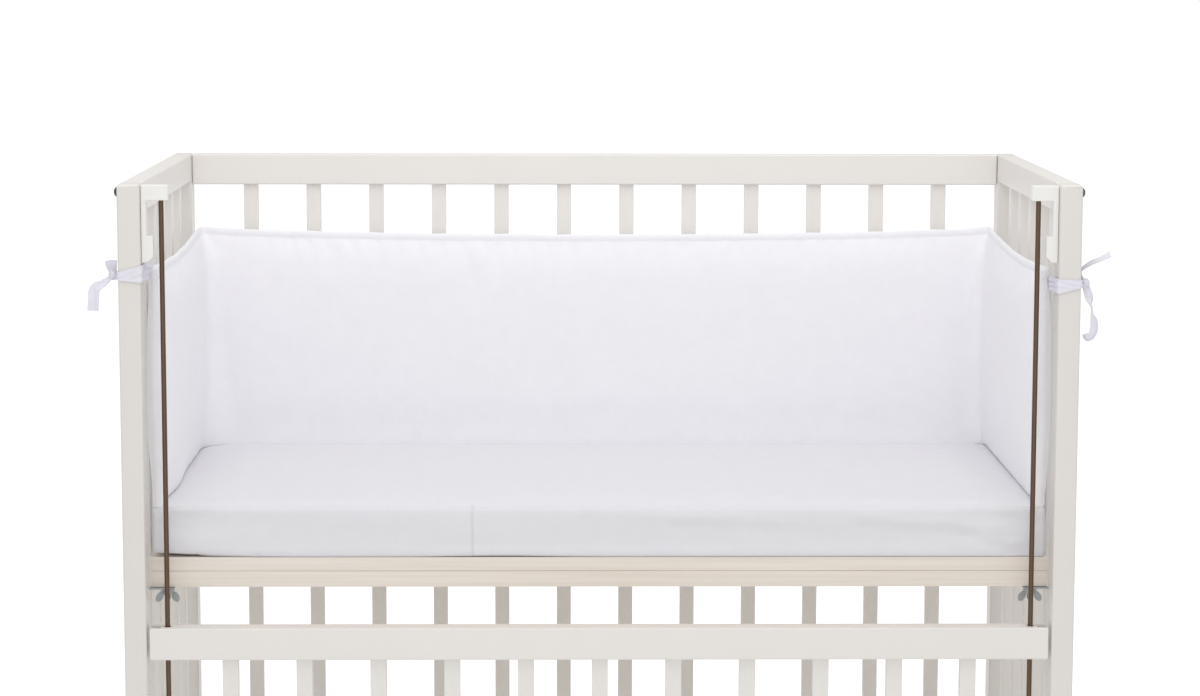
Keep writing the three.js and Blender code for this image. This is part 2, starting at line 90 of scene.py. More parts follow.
class CribFinish(bpy.types.PropertyGroup):
    """Colours of the finishes"""
    paint: colour("Paint", "Warm white paint on rails and slats", "#E8E4DF")
    # Painted shade: the posts' paint is a darker copy of the rails' paint, standing in for the shade that
    # falls on the front posts.
    post_paint_shaded: colour("Post paint", "The same on the posts, a little deeper", "#E1DDD8")
    bare_wood: colour("Bare wood", "Pale wood of the base", "#E7DFD6")
    bare_grain: colour("Wood grain", "Darker streaks of the base's wood", "#DCD2C5")
    cotton: colour("Cotton", "White cotton of the bumper", "#F2F1F5")
    # Painted shade: the cover is a darker copy of the bumper's white cotton, standing in for the shade on the
    # mattress's front.
    cover: colour("Cover", "White cotton of the mattress cover", "#E0DFE3")
    ribbon: colour("Ribbon", "White cotton of the ties", "#E5E3EC")
    plastic: colour("Plastic", "White moulded catches and feet", "#EDECE8")
    bronze: colour("Bronze", "Brown plating of the guide rods", "#6B5747")
    zinc: colour("Zinc", "Plated steel of the base clamps", "#A9ADAE")
    bolt: colour("Bolt", "Dark steel of the post bolts", "#565754")
    floor: colour("Floor", "Pale studio floor", "#FAFAFA")


class CribWood(bpy.types.PropertyGroup):
    """Edges of the crib's wood"""
    edge: length("Edge", "Rounding of the rails' edges", 1.8)
    slat_edge: length("Slat edge", "Rounding of the slats' long edges", 0.8)
    base_edge: length("Base edge", "Rounding of the base's edges", 0.1)
    post_edge: length("Post edge", "Rounding of the posts' long edges", 2)
    post_top: length("Post top", "Rounding of the posts' ends", 4)
    catch_edge: length("Catch edge", "Rounding of the moulded catches and feet", 0.8)
    bolt_radius: length("Bolt radius", "Radius of the bolt heads on the front posts", 5.5)
    bolt_rise: length("Bolt rise", "How far a bolt head stands out", 4.4)
    bolt_drop: length("Bolt drop", "Height of a bolt head below the post's top", 9)


class BumperPad(bpy.types.PropertyGroup):
    """Padding and sewing of the bumper"""
    thickness: length("Thickness", "Thickness of the pad where it is fullest", 16)
    corner_top: length("Top corner", "Reach of the bend at the back corners, at the top edge", 8)
    corner_left: length("Left corner", "Reach of the bend halfway up at the left corner", 33)
    corner_right: length("Right corner", "Reach of the bend halfway up at the right corner", 28)
    corner_low_left: length("Low left corner", "Reach of the bend low down at the left corner", 56)
    corner_low_right: length("Low right corner", "Reach of the bend low down at the right corner", 24)
    spacing: length("Spacing", "Distance between the pad's mesh columns", 4.5)
    pucker: length("Pucker", "Depth of the puckers under the top seam", 1.3)
    pucker_reach: length("Pucker reach", "How far the puckers run down from the seam", 30)
    wave: length("Wave", "Depth of the slow waves in the pad's faces", 0.7)
    limit: length("Limit", "How far the filling may push a point", 2.7)
    pressure: number("Pressure", "Pressure of the filling", 4)
    frames: IntProperty(name="Frames", description="Last frame of the filling's simulation", default=20)


class MattressPad(bpy.types.PropertyGroup):
    """Padding of the mattress"""
    voxel: length("Voxel", "Mesh spacing of the mattress", 5)
    limit: length("Limit", "How far the filling may push a point", 2.5)
    crease: length("Crease", "Depth of the slow creases in the front of the cover", 0.6)
    rim: length("Rim", "Depth of the gathers along the front's upper edge", 1.6)
    pressure: number("Pressure", "Pressure of the filling", 4)
    frames: IntProperty(name="Frames", description="Last frame of the filling's simulation", default=20)


class TieRibbon(bpy.types.PropertyGroup):
    """Ribbon of the ties"""
    width: length("Width", "Width of the ribbon", 10)
    thickness: length("Thickness", "Thickness of the ribbon", 0.9)
    knot: length("Knot", "Radius of the knots", 4.6)


class CribStage(bpy.types.PropertyGroup):
    """Camera and light"""
    lens: number("Lens", "Focal length on a 36 mm sensor, in millimetres", 93.33)
    offset: length("Offset", "Camera to the right of the middle", -42.4)
    distance: length("Distance", "Camera in front of the front posts", 3029.9)
    height: length("Height", "Camera above the floor", 1058.4)
    pitch: tilt("Pitch", "Downward tilt", 7.324)
    yaw: tilt("Yaw", "Turn to the right", 0.792)
    roll: tilt("Roll", "Roll of the frame", 0.111)
    sky: number("Sky", "Strength of the even white light", 0.73)
    overhead: number("Overhead", "Power of the soft light over the crib, in watts", 13.3)
    fill: number("Fill", "Power of the soft light beside the camera, in watts", 8.6)
    glow: number("Glow", "Strength of the lit floor behind the crib", 0.4)
    glow_start: length("Glow start", "Distance behind the middle where the lit floor begins", 250)
    glow_full: length("Glow full", "Distance behind the middle where the lit floor is brightest", 1100)


PROPERTY_GROUPS = (
    ("crib_finish", CribFinish),
    ("crib_wood", CribWood),
    ("crib_bumper", BumperPad),
    ("crib_mattress", MattressPad),
    ("crib_ties", TieRibbon),
    ("crib_stage", CribStage),
)


def settings(name):
    """One property group of the scene."""
    return getattr(bpy.context.scene, name)


# Nodes and materials

def set_sockets(node, inputs):
    """Gives each named socket of a node its value, or links the socket that feeds it."""
    for key, value in inputs.items():
        if isinstance(value, bpy.types.NodeSocket):
            node.id_data.links.new(value, node.inputs[key])
        else:
            node.inputs[key].default_value = value


def add_node(tree, kind, inputs=None, **values):
    """Adds a node with its settings and its sockets."""
    node = tree.nodes.new(kind)
    for key, value in values.items():
        setattr(node, key, value)
    set_sockets(node, inputs or {})
    return node


def new_material(name):
    """A material with a bare Principled shader: it, its tree, the shader and the place on the piece."""
    old = bpy.data.materials.get(name)
    if old:
        bpy.data.materials.remove(old)
    material = bpy.data.materials.new(name)
    material.use_nodes = True
    tree = material.node_tree
    place = add_node(tree, "ShaderNodeTexCoord").outputs["Object"]
    return material, tree, tree.nodes["Principled BSDF"], place


def opaque(rgb, share=1.0):
    """RGBA of a colour, darkened by a share."""
    return (rgb[0] * share, rgb[1] * share, rgb[2] * share, 1)


def grain_scale(axis, along, across):
    """Mapping scale that stretches a pattern along one axis, from sizes in millimetres."""
    scale = [1 / (across * MM)] * 3
    scale[axis] = 1 / (along * MM)
    return scale


def painted_wood(name, axis, paint):
    """Satin lacquer brushed on beech: soft gloss, with the grain just telling through the paint."""
    material, tree, shader, place = new_material(name)
    grain_place = add_node(tree, "ShaderNodeMapping", {"Vector": place, "Scale": grain_scale(axis, 90, 1.8)})
    grain = add_node(tree, "ShaderNodeTexNoise",
                     {"Vector": grain_place.outputs["Vector"], "Scale": 1, "Detail": 4, "Roughness": 0.6})
    cloud = add_node(tree, "ShaderNodeTexNoise", {"Vector": place, "Scale": 1 / (70 * MM), "Detail": 2})
    tint = add_node(tree, "ShaderNodeMix",
                    {"Factor": cloud.outputs["Fac"], 6: opaque(paint, 0.965), 7: opaque(paint)},
                    data_type="RGBA")
    gloss = add_node(tree, "ShaderNodeMapRange",
                     {"Value": grain.outputs["Fac"], "To Min": 0.36, "To Max": 0.52})
    bump = add_node(tree, "ShaderNodeBump",
                    {"Height": grain.outputs["Fac"], "Strength": 0.12, "Distance": 0.5 * MM})
    set_sockets(shader, {"Base Color": tint.outputs[2], "Roughness": gloss.outputs["Result"],
                         "Normal": bump.outputs["Normal"], "IOR": 1.5, "Coat Weight": 0.12,
                         "Coat Roughness": 0.3})
    return material


def bare_wood():
    """Planed softwood left bare: pale, matt, with long yellowish streaks."""
    material, tree, shader, place = new_material("planed_spruce")
    finish = settings("crib_finish")
    streak_place = add_node(tree, "ShaderNodeMapping", {"Vector": place, "Scale": grain_scale(0, 260, 5)})
    streak = add_node(tree, "ShaderNodeTexNoise",
                      {"Vector": streak_place.outputs["Vector"], "Scale": 1, "Detail": 5, "Distortion": 0.6})
    share = add_node(tree, "ShaderNodeMapRange",
                     {"Value": streak.outputs["Fac"], "From Min": 0.35, "From Max": 0.75})
    tint = add_node(tree, "ShaderNodeMix", {"Factor": share.outputs["Result"], 6: opaque(finish.bare_wood),
                                            7: opaque(finish.bare_grain)}, data_type="RGBA")
    fibre_place = add_node(tree, "ShaderNodeMapping", {"Vector": place, "Scale": grain_scale(0, 60, 0.9)})
    fibre = add_node(tree, "ShaderNodeTexNoise",
                     {"Vector": fibre_place.outputs["Vector"], "Scale": 1, "Detail": 3})
    bump = add_node(tree, "ShaderNodeBump",
                    {"Height": fibre.outputs["Fac"], "Strength": 0.25, "Distance": 0.4 * MM})
    set_sockets(shader, {"Base Color": tint.outputs[2], "Normal": bump.outputs["Normal"], "Roughness": 0.58})
    return material


def cotton(name, thread, white, seam_x=None, seam_y=0):
    """Plain woven cotton: matt with a faint sheen. Threads lie about 0.4 mm apart on the real cloth
    and are drawn coarser here so that they show. A seam runs upright at seam_x in front of seam_y."""
    material, tree, shader, place = new_material(name)
    split = add_node(tree, "ShaderNodeSeparateXYZ", {"Vector": place})
    waves = []
    for axis in "XYZ":
        turn = add_node(tree, "ShaderNodeMath", {0: split.outputs[axis], 1: math.pi / (thread * MM)},
                        operation="MULTIPLY")
        waves.append(add_node(tree, "ShaderNodeMath", {0: turn.outputs[0]}, operation="SINE").outputs[0])
    first = add_node(tree, "ShaderNodeMath", {0: waves[0], 1: waves[1]}, operation="ADD")
    weave = add_node(tree, "ShaderNodeMath", {0: first.outputs[0], 1: waves[2]}, operation="ADD")
    slub = add_node(tree, "ShaderNodeTexNoise", {"Vector": place, "Scale": 1 / (14 * MM), "Detail": 5})
    tint = add_node(tree, "ShaderNodeMix",
                    {"Factor": slub.outputs["Fac"], 6: opaque(white, 0.955), 7: opaque(white)},
                    data_type="RGBA")
    crumple = add_node(tree, "ShaderNodeTexNoise", {"Vector": place, "Scale": 1 / (38 * MM), "Detail": 3})
    soft = add_node(tree, "ShaderNodeBump",
                    {"Height": crumple.outputs["Fac"], "Strength": 0.35, "Distance": 3 * MM})
    bump = add_node(tree, "ShaderNodeBump", {"Height": weave.outputs[0], "Strength": 0.16,
                                             "Distance": 0.12 * MM, "Normal": soft.outputs["Normal"]})
    if seam_x is not None:
        bump = sewn_line(tree, split, bump, seam_x, seam_y)
    set_sockets(shader, {"Base Color": tint.outputs[2], "Normal": bump.outputs["Normal"], "Roughness": 0.9,
                         "Specular IOR Level": 0.25, "Sheen Weight": 0.15, "Sheen Roughness": 0.5})
    return material


def sewn_line(tree, split, bump, x, y):
    """Adds an upright seam to a bump chain, where the cloth lies in front of y."""
    away = add_node(tree, "ShaderNodeMath", {0: split.outputs["X"], 1: x}, operation="SUBTRACT")
    near = add_node(tree, "ShaderNodeMath", {0: away.outputs[0]}, operation="ABSOLUTE")
    groove = add_node(tree, "ShaderNodeMapRange",
                      {"Value": near.outputs[0], "From Min": 0, "From Max": 2 * MM},
                      interpolation_type="SMOOTHSTEP")
    behind = add_node(tree, "ShaderNodeMath", {0: split.outputs["Y"], 1: y}, operation="GREATER_THAN")
    height = add_node(tree, "ShaderNodeMath", {0: groove.outputs["Result"], 1: behind.outputs[0]},
                      operation="MAXIMUM")
    return add_node(tree, "ShaderNodeBump", {"Height": height.outputs[0], "Strength": 0.7,
                                             "Distance": 1.2 * MM, "Normal": bump.outputs["Normal"]})


def moulded_plastic():
    """Moulded polyamide: white, satin, with the fine texture of its mould."""
    material, tree, shader, place = new_material("moulded_polyamide")
    texture = add_node(tree, "ShaderNodeTexNoise", {"Vector": place, "Scale": 1 / (0.8 * MM), "Detail": 2})
    bump = add_node(tree, "ShaderNodeBump",
                    {"Height": texture.outputs["Fac"], "Strength": 0.1, "Distance": 0.1 * MM})
    set_sockets(shader, {"Base Color": opaque(settings("crib_finish").plastic), "Roughness": 0.38,
                         "IOR": 1.53, "Normal": bump.outputs["Normal"]})
    return material


def plated_metal(name, tone, rough, grit):
    """Plated steel: a dull sheen, uneven where the plating has worn."""
    material, tree, shader, place = new_material(name)
    patch = add_node(tree, "ShaderNodeTexNoise", {"Vector": place, "Scale": 1 / (grit * MM), "Detail": 4})
    gloss = add_node(tree, "ShaderNodeMapRange",
                     {"Value": patch.outputs["Fac"], "To Min": rough - 0.1, "To Max": rough + 0.12})
    tint = add_node(tree, "ShaderNodeMix",
                    {"Factor": patch.outputs["Fac"], 6: opaque(tone, 0.8), 7: opaque(tone, 1.1)},
                    data_type="RGBA")
    set_sockets(shader, {"Base Color": tint.outputs[2], "Roughness": gloss.outputs["Result"],
                         "Metallic": 0.85})
    return material


def studio_floor():
    """Matt white paper sweep, lit through from below where it is well behind the crib."""
    material, tree, shader, place = new_material("paper_sweep")
    values = settings("crib_stage")
    split = add_node(tree, "ShaderNodeSeparateXYZ", {"Vector": place})
    glow = add_node(tree, "ShaderNodeMapRange", {"Value": split.outputs["Y"], "From Min": values.glow_start,
                                                 "From Max": values.glow_full, "To Max": values.glow},
                    interpolation_type="SMOOTHSTEP")
    set_sockets(shader, {"Base Color": opaque(settings("crib_finish").floor), "Roughness": 0.95,
                         "Specular IOR Level": 0, "Emission Color": WHITE,
                         "Emission Strength": glow.outputs["Result"]})
    return material


# Modelling helpers

def deselect():
    """Leaves nothing selected, in object mode."""
    if bpy.context.object and bpy.context.object.mode != "OBJECT":
        bpy.ops.object.mode_set(mode="OBJECT")
    bpy.ops.object.select_all(action="DESELECT")


def activate(piece):
    """Makes one object the only selected one and the active one."""
    deselect()
    piece.select_set(True)
    bpy.context.view_layer.objects.active = piece


def settle_place(piece):
    """Moves the object's place into its mesh."""
    activate(piece)
    bpy.ops.object.transform_apply(location=True, rotation=True, scale=True)


def add_piece(name, mesh):
    """A new object for a mesh, the only selected one."""
    piece = bpy.data.objects.new(name, mesh)
    bpy.context.scene.collection.objects.link(piece)
    activate(piece)
    return piece


def edit_all(piece):
    """Opens a piece in edit mode, selected all over."""
    activate(piece)
    bpy.ops.object.mode_set(mode="EDIT")
    bpy.ops.mesh.select_all(action="SELECT")


def face_outwards(piece):
    """Turns the faces of a closed piece outwards."""
    edit_all(piece)
    bpy.ops.mesh.normals_make_consistent(inside=False)
    bpy.ops.object.mode_set(mode="OBJECT")


def merged_copy(node):
    """A copy of a node's solid whose triangles share their points, open in edit mode."""
    piece = add_piece(node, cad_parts[node].data.copy())
    edit_all(piece)
    bpy.ops.mesh.remove_doubles(threshold=0.01 * MM)
    return piece


def finish_piece(piece, name, material, body, nodes=()):
    """Names a piece, gives it its material and its body, and hides the solids it stands for."""
    piece.name = name
    piece.data.name = name
    piece.data.materials.clear()
    piece.data.materials.append(material)
    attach(piece, body)
    if nodes:
        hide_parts(*nodes)
    return piece


def smooth(piece, angle=40):
    """Smooth shading up to an angle in degrees."""
    activate(piece)
    bpy.ops.object.shade_smooth_by_angle(angle=math.radians(angle))


def smooth_hard(piece):
    """Smooth shading that keeps broad faces flat beside their rounded edges."""
    smooth(piece)
    shading = piece.modifiers.new("flat_faces", "WEIGHTED_NORMAL")
    shading.keep_sharp = True
    bpy.ops.object.modifier_apply(modifier=shading.name)


def select_edges(piece, wanted):
    """In edit mode, selects only the edges whose two end points pass a test."""
    bpy.ops.mesh.select_mode(type="EDGE")
    bpy.ops.mesh.select_all(action="DESELECT")
    bpy.ops.object.mode_set(mode="OBJECT")
    points = piece.data.vertices
    for edge in piece.data.edges:
        edge.select = wanted(*(points[i].co for i in edge.vertices))
    bpy.ops.object.mode_set(mode="EDIT")


def long_axis(node):
    """The axis along which a node is longest, as 0, 1 or 2."""
    low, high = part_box(node)
    size = high - low
    return max(range(3), key=lambda axis: size[axis])


def rounded_bar(node, edge, top=None, whole=True):
    """A bar in a node's box with rounded edges. Its top edges are rounder where top is given,
    and only its long edges are rounded where it isn't whole."""
    low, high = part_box(node)
    axis = long_axis(node)
    deselect()
    bpy.ops.mesh.primitive_cube_add(size=1, location=(low + high) / 2, scale=high - low)
    piece = bpy.context.object
    settle_place(piece)
    bpy.ops.object.mode_set(mode="EDIT")
    if top:
        select_edges(piece, lambda a, b: min(a.z, b.z) > high.z - edge)
        bpy.ops.mesh.bevel(offset=top, segments=4, profile=0.5)
    if whole:
        bpy.ops.mesh.select_all(action="SELECT")
    else:
        select_edges(piece, lambda a, b: abs(a[axis] - b[axis]) > (high[axis] - low[axis]) / 2)
    bpy.ops.mesh.bevel(offset=edge, segments=3, profile=0.5)
    bpy.ops.object.mode_set(mode="OBJECT")
    smooth_hard(piece)
    return piece


def softened_copy(node, width):
    """A copy of a node's solid with its sharp edges rounded."""
    piece = merged_copy(node)
    bpy.ops.mesh.dissolve_limited(angle_limit=math.radians(2))
    bpy.ops.object.mode_set(mode="OBJECT")
    bevel = piece.modifiers.new("edges", "BEVEL")
    bevel.width = width
    bevel.segments = 3
    bevel.limit_method = "ANGLE"
    bevel.angle_limit = math.radians(40)
    bpy.ops.object.modifier_apply(modifier=bevel.name)
    smooth_hard(piece)
    return piece


def nodes_named(*starts):
    """CAD nodes whose names start with one of these words."""
    return sorted(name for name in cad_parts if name.startswith(starts))


def closed_skin(name, sections, ring=False):
    """A mesh object over a row of closed sections. Each section goes along one side and back along
    the other. The row closes on itself as a ring, or else its ends close with strips across them."""
    count, total = len(sections[0]), len(sections)
    points = [point for section in sections for point in section]
    faces = []
    for i in range(total if ring else total - 1):
        a, b = i * count, (i + 1) % total * count
        for j in range(count):
            k = (j + 1) % count
            faces.append((a + j, a + k, b + k, b + j))
    last = (total - 1) * count
    for j in range(0 if ring else count // 2 - 1):
        back = count - 1 - j
        faces.append((j, back, back - 1, j + 1))
        faces.append((last + j, last + j + 1, last + back - 1, last + back))
    mesh = bpy.data.meshes.new(name)
    mesh.from_pydata(points, [], faces)
    mesh.validate()
    piece = add_piece(name, mesh)
    face_outwards(piece)
    return piece


def mesh_points(piece):
    """The mesh's points as an array."""
    points = np.zeros(len(piece.data.vertices) * 3)
    piece.data.vertices.foreach_get("co", points)
    return points.reshape(-1, 3)


def set_points(piece, points):
    """Writes an array back to the mesh's points."""
    piece.data.vertices.foreach_set("co", points.ravel())
    piece.data.update()


def swell(piece, pinned, values, shrink):
    """Fills a piece by cloth simulation. Points pinned by 1 stay, those pinned by less keep a share of their
    motion, and no point moves further than the limit."""
    start = mesh_points(piece)
    group = piece.vertex_groups.new(name="sewn")
    group.add([int(i) for i in np.nonzero(pinned >= 1)[0]], 1, "REPLACE")
    activate(piece)
    cloth = piece.modifiers.new("filling", "CLOTH")
    cloth.settings.quality = 4
    cloth.settings.mass = 0.2
    cloth.settings.tension_stiffness = 15
    cloth.settings.compression_stiffness = 15
    cloth.settings.bending_stiffness = 0.8
    cloth.settings.use_pressure = True
    cloth.settings.uniform_pressure_force = values.pressure
    cloth.settings.effector_weights.gravity = 0
    cloth.settings.shrink_min = shrink
    cloth.settings.vertex_group_mass = group.name
    cloth.collision_settings.use_collision = False
    cloth.point_cache.frame_start = 1
    cloth.point_cache.frame_end = values.frames
    scene = bpy.context.scene
    for moment in range(1, values.frames + 1):
        scene.frame_set(moment)
    bpy.ops.object.modifier_apply(modifier=cloth.name)
    scene.frame_set(1)
    moved = (mesh_points(piece) - start) * (1 - pinned)[:, None]
    far = np.linalg.norm(moved, axis=1, keepdims=True)
    set_points(piece, start + moved * (values.limit * np.tanh(far / values.limit) / np.maximum(far, 1e-9)))
    piece.vertex_groups.clear()


def hum(points, size, seed):
    """Smooth noise from -1 to 1 at each point, with features of about that size in metres."""
    shift = Vector((seed * 7.3, seed * 3.1, seed * 5.7))
    return np.array([noise.noise(Vector(point) / size + shift) for point in points])


def point_normals(piece):
    """The mesh's normals at its points as an array."""
    normals = np.zeros(len(piece.data.vertices) * 3)
    piece.data.vertices.foreach_get("normal", normals)
    return normals.reshape(-1, 3)


def ramp(values, start, end):
    """Smooth rise from 0 at start to 1 at end."""
    share = np.clip((values - start) / (end - start), 0, 1)
    return share * share * (3 - 2 * share)


def bell(values, middle, reach):
    """Smooth hump of height 1 round a middle."""
    return np.exp(-((values - middle) / reach) ** 2)


def mix(a, b, share):
    """A value between two others."""
    return a + (b - a) * share


# Share of its motion that the filling loses where cloth is sewn or lies on something
CALM = 0.9
# Degrees up to which cloth and ribbon are shaded smooth
CLOTH_ANGLE = 80
RIBBON_ANGLE = 60


# Bumper

# Section of the pad: share of its height, and share of its half thickness
PAD_SECTION = (
    (0.000, 0.24),
    (0.004, 0.38),
    (0.010, 0.50),
    (0.022, 0.65),
    (0.045, 0.79),
    (0.080, 0.89),
    (0.130, 0.95),
    (0.220, 0.99),
    (0.360, 1.00),
    (0.580, 0.98),
    (0.780, 0.86),
    (0.850, 0.75),
    (0.900, 0.62),
    (0.935, 0.47),
    (0.956, 0.35),
    (0.964, 0.25),
    (0.968, 0.23),
    (0.972, 0.26),
    (0.980, 0.29),
    (0.993, 0.27),
    (0.998, 0.19),
    (1.000, 0.08),
)
SEAM_RISE = 0.968
CORNER_STEPS = 11
CORNER_POWER = 2.5
PAD_ROWS = 42
EVEN_ROWS = (0.09, 0.93)
# Height of the top edge above the pad's lowest point, and how far it dips along the sides and the back
TOP_FRONT = 239.6 * MM
TOP_CORNER = 243.6 * MM
SIDE_DIP = 6.5 * MM
BACK_DIP = 8.5 * MM
BACK_POWER = 0.6
# Shares of the height below which the pad's corners are rounder, and above which they are sharper
CORNER_EVEN = 0.5
CORNER_SHARP = 0.84
# Distance from the back corners below which the filling hardly moves the cloth, and above which it does
CORNER_NEAR = 35 * MM
CORNER_FAR = 110 * MM
# Front ends: reach and thinness of their rounding, fullness of their upper part, draw-in of top and bottom
END_ROUND = 16 * MM
END_THIN = 0.45
END_REACH = 45 * MM
END_FAT = 0.8
END_DROP = 5 * MM
END_LIFT = -1.8 * MM
# Where the back rests on the mattress: how square its bottom is pressed, between which shares of the height
# that fades, and how far it settles
REST_FULL = 0.92
REST_START = 0.02
REST_RISE = 0.2
REST_SINK = 0.5 * MM
# Low bulge of the left side toward the mattress: depth, place behind the front end, reach, share of height
BULGE = 4 * MM
BULGE_PLACE = 110 * MM
BULGE_REACH = 60 * MM
BULGE_RISE = 0.3
# Sewn rows: half the seam's width and the bottom edge, as shares of the height. The filling moves the rows
# between them, and less so below a share of the height.
SEAM_HALF = 0.003
BOTTOM_EDGE = 0.004
CALM_LOW = 0.05
CALM_HIGH = 0.4
BUMPER_SHRINK = -0.01
# Noise in the cloth: feature size and seed
PATCHES = (90 * MM, 10)
PLEATS = (12 * MM, 1)
FINE_PLEATS = (7 * MM, 2)
WAVES = (150 * MM, 3)
RIPPLES = (60 * MM, 4)
FLANGE_WAVES = (45 * MM, 5)
FLANGE_RIPPLES = (16 * MM, 6)
# How much longer than wide pleats and waves run up the pad, and how strong the finer ones are
PLEAT_STRETCH = np.array([1, 1, 0.15])
WAVE_STRETCH = np.array([1, 1, 0.7])
FINE_SHARE = 0.6
RIPPLE_SHARE = 0.5
# Noise between which a patch of pleats begins and is full, and how weak the pleats are outside it
PATCH_RANGE = (-0.3, 0.4)
PATCH_LEAST = 0.4
# Shares of the height where the waves begin and where they fade below the seam
WAVES_LOW = (0.0, 0.12)
WAVES_HIGH = (0.9, SEAM_RISE)
# Distance below the seam where the pleats begin, and heights of the flange's waves
PLEAT_START = 7 * MM
FLANGE_WAVE = 0.9 * MM
FLANGE_RIPPLE = 0.4 * MM


def section_rows():
    """Heights and half thicknesses of the pad's rows, close together at the seam and the edges."""
    rises, shares = np.array(PAD_SECTION).T
    even = np.linspace(*EVEN_ROWS, PAD_ROWS - len(rises))
    heights = np.unique(np.round(np.concatenate([rises, even]), 4))
    return heights, np.interp(heights, rises, shares)


def rounded(distance, radius):
    """Share of a full quarter round at a distance in from its edge."""
    inside = min(max(distance, 0), radius) / radius
    return math.sqrt(1 - (1 - inside) ** 2)


def soft_corner(share):
    """Point and outward normal, a share of the way round a corner that eases into its straight sides."""
    along, across = math.cos(share * math.pi / 2), math.sin(share * math.pi / 2)
    reach = (along ** CORNER_POWER + across ** CORNER_POWER) ** (1 / CORNER_POWER)
    normal = Vector((along ** (CORNER_POWER - 1), across ** (CORNER_POWER - 1))).normalized()
    return along / reach, across / reach, normal.x, normal.y


def side_top(share):
    """Height of the top edge above the lowest point, a share of the way from a front end to its corner."""
    return mix(TOP_FRONT, TOP_CORNER, share) - SIDE_DIP * math.sin(math.pi * share)


def bumper_line(low, high, values, left, right):
    """Places along a row of the pad, from the left front end round to the right front end, for given bends
    of the corners: x, y, inward x, inward y, height of the top edge above the lowest point."""
    half = values.thickness / 2
    side, back = high.x - half, high.y - half
    run_steps = round((back - low.y) / values.spacing)
    back_steps = round(2 * side / values.spacing)
    places = []
    for i in range(run_steps):
        share = i / run_steps
        places.append((-side, mix(low.y, back - left, share), 1, 0, side_top(share)))
    for i in range(CORNER_STEPS):
        u, v, nu, nv = soft_corner(i / CORNER_STEPS)
        places.append((left - side - left * u, back - left + left * v, nu, -nv, TOP_CORNER))
    for i in range(back_steps):
        share = i / back_steps
        top = TOP_CORNER - BACK_DIP * math.sin(math.pi * share) ** BACK_POWER
        places.append((mix(left - side, side - right, share), back, 0, -1, top))
    for i in range(CORNER_STEPS):
        u, v, nu, nv = soft_corner(i / CORNER_STEPS)
        places.append((side - right + right * v, back - right + right * u, -nv, -nu, TOP_CORNER))
    for i in range(run_steps + 1):
        share = 1 - i / run_steps
        places.append((side, mix(low.y, back - right, share), -1, 0, side_top(share)))
    return places


def bumper_mesh(values):
    """The pad before it is filled, with each point's share of the height."""
    low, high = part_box("bumper")
    heights, shares = section_rows()
    lines = []
    for rise in heights:
        even, sharp = float(ramp(rise, 0, CORNER_EVEN)), float(ramp(rise, CORNER_SHARP, 1))
        left = mix(mix(values.corner_low_left, values.corner_left, even), values.corner_top, sharp)
        right = mix(mix(values.corner_low_right, values.corner_right, even), values.corner_top, sharp)
        lines.append(bumper_line(low, high, values, left, right))

    def point(row, station, way):
        x, y, nx, ny, top = lines[row][station]
        closing = 1 - rounded(y - low.y, END_ROUND)
        full = mix(max(shares[row], END_FAT), shares[row], float(ramp(y - low.y, 0, END_REACH)))
        full = mix(full, 1, REST_FULL * abs(ny) * (1 - float(ramp(heights[row], REST_START, REST_RISE))))
        off = way * full * mix(1, END_THIN, closing) * values.thickness / 2
        z = mix(closing * END_LIFT - abs(ny) * REST_SINK, top - closing * END_DROP, heights[row])
        return x + nx * off, y + ny * off, low.z + z

    rows = range(len(heights))
    sections = []
    for station in range(len(lines[0])):
        outer = [point(row, station, -1) for row in rows]
        inner = [point(row, station, 1) for row in rows]
        sections.append(outer + inner[::-1])
    rises = np.tile(np.concatenate([heights, heights[::-1]]), len(sections))
    return closed_skin("bumper_cotton", sections), rises


def make_bumper():
    """Fills the pad, then draws in its seam and waves."""
    values = settings("crib_bumper")
    piece, rises = bumper_mesh(values)
    low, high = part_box("bumper")
    points = mesh_points(piece)
    corners = ramp(np.abs(points[:, 0]), high.x - CORNER_FAR, high.x - CORNER_NEAR)
    corners *= ramp(points[:, 1], high.y - CORNER_FAR, high.y - CORNER_NEAR)
    sewn = CALM * np.maximum(1 - ramp(rises, CALM_LOW, CALM_HIGH), corners)
    sewn[(rises >= SEAM_RISE - SEAM_HALF) | (rises <= BOTTOM_EDGE)] = 1
    swell(piece, sewn, values, BUMPER_SHRINK)
    points = mesh_points(piece)
    normals = point_normals(piece)
    below_seam = (SEAM_RISE - rises) * (high.z - low.z)
    fade = np.exp(-np.maximum(below_seam, 0) / (values.pucker_reach / 2))
    near_seam = ramp(below_seam, 0, PLEAT_START) * fade
    level = points * PLEAT_STRETCH
    patches = mix(PATCH_LEAST, 1, ramp(hum(level, *PATCHES), *PATCH_RANGE))
    pleats = (hum(level, *PLEATS) + FINE_SHARE * hum(level, *FINE_PLEATS)) * patches
    waves = hum(points * WAVE_STRETCH, *WAVES) + RIPPLE_SHARE * hum(points, *RIPPLES)
    free = ramp(rises, *WAVES_LOW) * (1 - ramp(rises, *WAVES_HIGH))
    flange = ramp(rises, SEAM_RISE, 1)
    push = values.pucker * pleats * near_seam + values.wave * waves * free
    push += FLANGE_RIPPLE * flange * hum(level, *FLANGE_RIPPLES)
    points = points + normals * push[:, None]
    points[:, 2] += FLANGE_WAVE * flange * hum(level, *FLANGE_WAVES)
    bulge = bell(points[:, 1], low.y + BULGE_PLACE, BULGE_REACH) * (1 - ramp(rises, 0, BULGE_RISE))
    points[:, 0] += BULGE * bulge * (points[:, 0] < low.x + 2 * values.thickness)
    set_points(piece, points)
    smooth(piece, CLOTH_ANGLE)
    finish = cotton("percale_cotton_bumper", 1.4, settings("crib_finish").cotton)
    finish_piece(piece, "bumper_cotton", finish, CRIB, ["bumper"])


# Mattress

# Upright seam in the front of the cover, and how far behind the front it ends
SEAM_X = -127.6 * MM
SEAM_DEEP = 10 * MM
# Strip of the mattress that lies under the pad, and how far from it the top stays flat
PAD_STRIP = 24 * MM
FLAT_STRIP = 90 * MM
